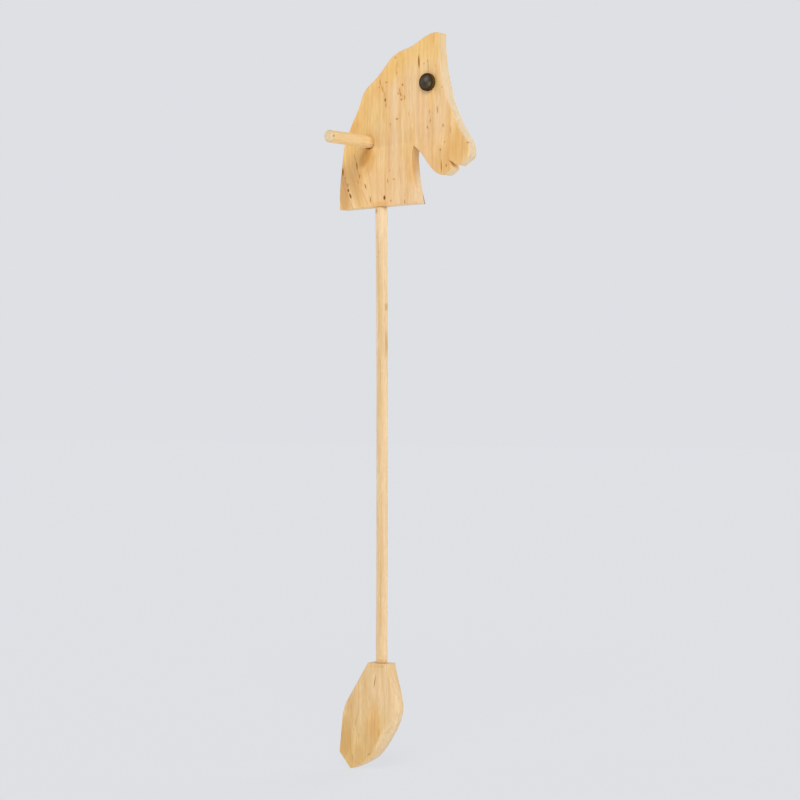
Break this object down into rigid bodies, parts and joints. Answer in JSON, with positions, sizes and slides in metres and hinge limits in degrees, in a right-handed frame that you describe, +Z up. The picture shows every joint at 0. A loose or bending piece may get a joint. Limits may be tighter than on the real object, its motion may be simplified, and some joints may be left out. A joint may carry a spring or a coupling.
{
  "type": "hobby horse",
  "caption": "Wooden hobby horse: flat sawn head with dark button eyes on a long round stick, a hand grip through the neck, a bevelled leaf-shaped foot at the lower end.",
  "frame": {"origin": "middle of the hand grip, on its axis and halfway through the neck board", "axes": "+X to the muzzle, +Y to the horse's left along the hand grip, +Z up along the stick"},
  "size_m": [0.2315, 0.214, 1.068],
  "materials": {
    "head_wood": "bare sanded pale softwood, upright grain",
    "stick_wood": "bare sanded pale dowel",
    "grip_wood": "bare sanded pale dowel",
    "foot_wood": "bare sanded softwood, slightly darker than the head",
    "eye_finish": "satin dark brown"
  },
  "bodies": {
    "root": {"head_board": "head_wood", "stick": "stick_wood", "hand_grip": "grip_wood", "foot_board": "foot_wood", "eye_right": "eye_finish", "eye_left": "eye_finish"}
  },
  "joints": []
}
